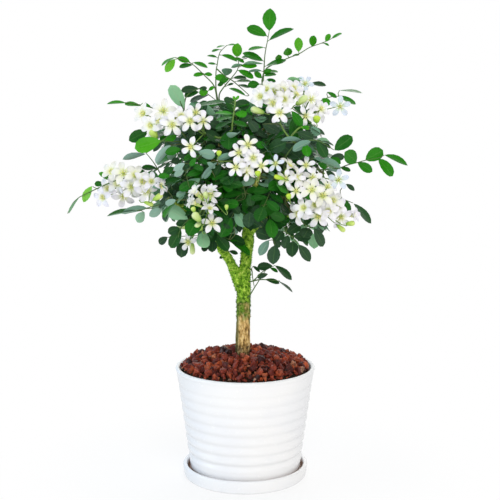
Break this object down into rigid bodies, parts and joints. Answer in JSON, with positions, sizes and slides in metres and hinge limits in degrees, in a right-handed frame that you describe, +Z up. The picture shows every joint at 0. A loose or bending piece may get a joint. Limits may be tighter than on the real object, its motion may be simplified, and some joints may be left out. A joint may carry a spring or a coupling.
{
  "type": "orange jasmine bonsai in a pot",
  "caption": "Small flowering orange jasmine tree with an upright forked trunk, in a ribbed white glazed pot on its saucer, topped with red lava gravel.",
  "frame": {"origin": "centre of the saucer's flat underside", "axes": "+Z up along the pot's axis, -Y towards the side that the picture shows, +X to its right"},
  "size_m": [0.3755, 0.2549, 0.5302],
  "materials": {
    "white_glaze": "gloss",
    "potting_soil": "matte",
    "red_lava": "matte",
    "mossy_bark": "matte",
    "leaf_green": "satin",
    "petal_white": "satin"
  },
  "bodies": {
    "root": {"flower_cluster_back_left": "petal_white", "flower_cluster_back_low": "petal_white", "flower_cluster_back_right": "petal_white", "flower_cluster_centre": "petal_white", "flower_cluster_centre_right": "petal_white", "flower_cluster_far_right": "petal_white", "flower_cluster_left": "petal_white", "flower_cluster_lower_left": "petal_white", "flower_cluster_right": "petal_white", "flower_cluster_top_far_right": "petal_white", "flower_cluster_top_left": "petal_white", "flower_cluster_top_right": "petal_white", "flower_cluster_upper_left": "petal_white", "lava_gravel": "red_lava", "leafy_shoot_01": "leaf_green", "leafy_shoot_02": "leaf_green", "leafy_shoot_03": "leaf_green", "leafy_shoot_04": "leaf_green", "leafy_shoot_05": "leaf_green", "leafy_shoot_06": "leaf_green", "leafy_shoot_07": "leaf_green", "leafy_shoot_08": "leaf_green", "leafy_shoot_09": "leaf_green", "leafy_shoot_10": "leaf_green", "leafy_shoot_11": "leaf_green", "leafy_shoot_12": "leaf_green", "leafy_shoot_13": "leaf_green", "leafy_shoot_14": "leaf_green", "leafy_shoot_15": "leaf_green", "leafy_shoot_16": "leaf_green", "leafy_shoot_17": "leaf_green", "leafy_shoot_18": "leaf_green", "leafy_shoot_19": "leaf_green", "leafy_shoot_20": "leaf_green", "leafy_shoot_21": "leaf_green", "leafy_shoot_22": "leaf_green", "leafy_shoot_23": "leaf_green", "leafy_shoot_24": "leaf_green", "leafy_shoot_25": "leaf_green", "leafy_shoot_26": "leaf_green", "leafy_shoot_27": "leaf_green", "leafy_shoot_28": "leaf_green", "leafy_shoot_29": "leaf_green", "leafy_shoot_30": "leaf_green", "leafy_shoot_31": "leaf_green", "leafy_shoot_32": "leaf_green", "leafy_shoot_33": "leaf_green", "leafy_shoot_34": "leaf_green", "leafy_shoot_35": "leaf_green", "leafy_shoot_36": "leaf_green", "leafy_shoot_37": "leaf_green", "leafy_shoot_38": "leaf_green", "leafy_shoot_39": "leaf_green", "leafy_shoot_40": "leaf_green", "leafy_shoot_41": "leaf_green", "pot": "white_glaze", "potting_soil": "potting_soil", "saucer": "white_glaze", "trunk": "mossy_bark"}
  },
  "joints": []
}
